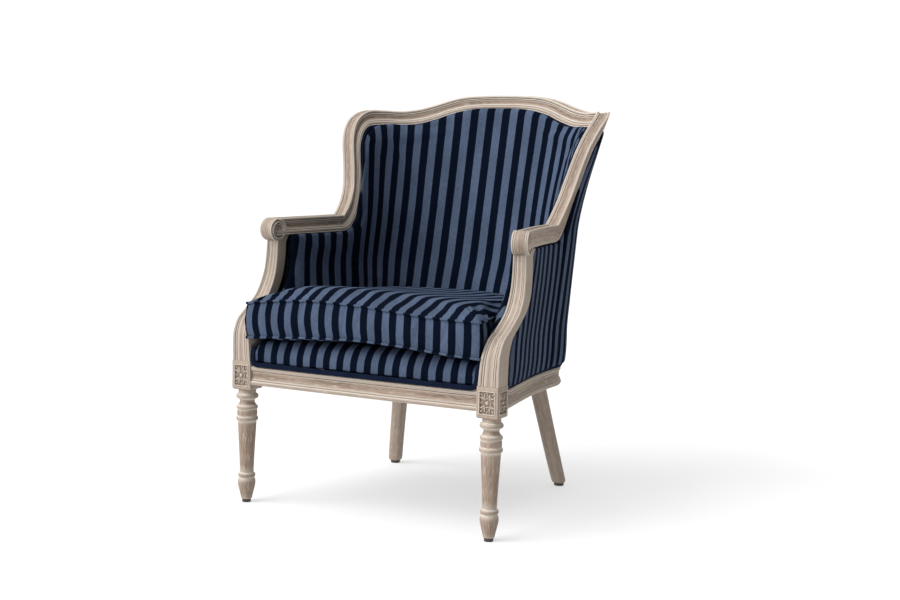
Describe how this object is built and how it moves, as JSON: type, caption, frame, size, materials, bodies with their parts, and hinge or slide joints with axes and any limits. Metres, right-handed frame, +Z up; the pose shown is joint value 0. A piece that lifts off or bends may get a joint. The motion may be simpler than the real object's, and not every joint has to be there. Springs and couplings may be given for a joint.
{
  "type": "upholstered armchair",
  "caption": "Carved limed-wood bergere armchair with a striped tub back, padded inside arms, scrolled arms, turned front legs and a loose boxed seat cushion.",
  "frame": {"origin": "on the floor, under the centre of the bounding box", "axes": "the chair faces -Y, +X is across it and normal to its plane of symmetry, +Z is up"},
  "size_m": [0.7178, 0.742, 0.981],
  "materials": {
    "limed_oak": "limed and lightly whitewashed oak, satin",
    "inner_beech": "bare sawn beech",
    "striped_fabric": "woven stripe, slate blue and near-black navy, matt",
    "navy_welt": "plain dark navy welt cord, matt",
    "jute_webbing": "woven jute",
    "black_cambric": "thin non-woven lining, matt",
    "nylon_glide": "dark moulded nylon"
  },
  "bodies": {
    "frame": {"front_leg_right": "limed_oak", "front_leg_left": "limed_oak", "front_glide_right": "nylon_glide", "front_glide_left": "nylon_glide", "rear_leg_right": "limed_oak", "rear_leg_left": "limed_oak", "rear_glide_right": "nylon_glide", "rear_glide_left": "nylon_glide", "front_rail": "limed_oak", "side_rail_right": "limed_oak", "side_rail_left": "limed_oak", "rear_rail": "limed_oak", "arm_post_right": "limed_oak", "arm_post_left": "limed_oak", "armrest_right": "limed_oak", "armrest_left": "limed_oak", "back_stile_right": "limed_oak", "back_stile_left": "limed_oak", "crest_rail": "limed_oak", "side_upright_right": "inner_beech", "side_upright_left": "inner_beech", "back_upright_right": "inner_beech", "back_upright_left": "inner_beech", "back_stay_rail": "inner_beech", "rear_stay_rail_right": "inner_beech", "rear_stay_rail_left": "inner_beech", "arm_stay_rail_right": "inner_beech", "arm_stay_rail_left": "inner_beech", "front_corner_brace_right": "inner_beech", "front_corner_brace_left": "inner_beech", "rear_corner_brace_right": "inner_beech", "rear_corner_brace_left": "inner_beech", "seat_webbing_long_middle": "jute_webbing", "seat_webbing_long_right": "jute_webbing", "seat_webbing_long_left": "jute_webbing", "seat_webbing_cross_front": "jute_webbing", "seat_webbing_cross_middle": "jute_webbing", "seat_webbing_cross_rear": "jute_webbing", "outside_back_panel": "striped_fabric", "outside_arm_panel_right": "striped_fabric", "outside_arm_panel_left": "striped_fabric", "inside_back_pad": "striped_fabric", "inside_arm_pad_right": "striped_fabric", "inside_arm_pad_left": "striped_fabric", "seat_deck": "striped_fabric", "inside_back_welt": "navy_welt", "outside_back_welt": "navy_welt", "inside_arm_welt_right": "navy_welt", "inside_arm_welt_left": "navy_welt", "outside_arm_welt_right": "navy_welt", "outside_arm_welt_left": "navy_welt", "outside_base_welt": "navy_welt", "deck_front_welt": "navy_welt", "dust_cover": "black_cambric"},
    "cushion": {"seat_cushion": "striped_fabric"}
  },
  "joints": [
    {"name": "cushion_lift", "type": "slide", "parent": "frame", "child": "cushion", "axis": [0, 0, 1], "range_m": [0, 0.6]}
  ]
}
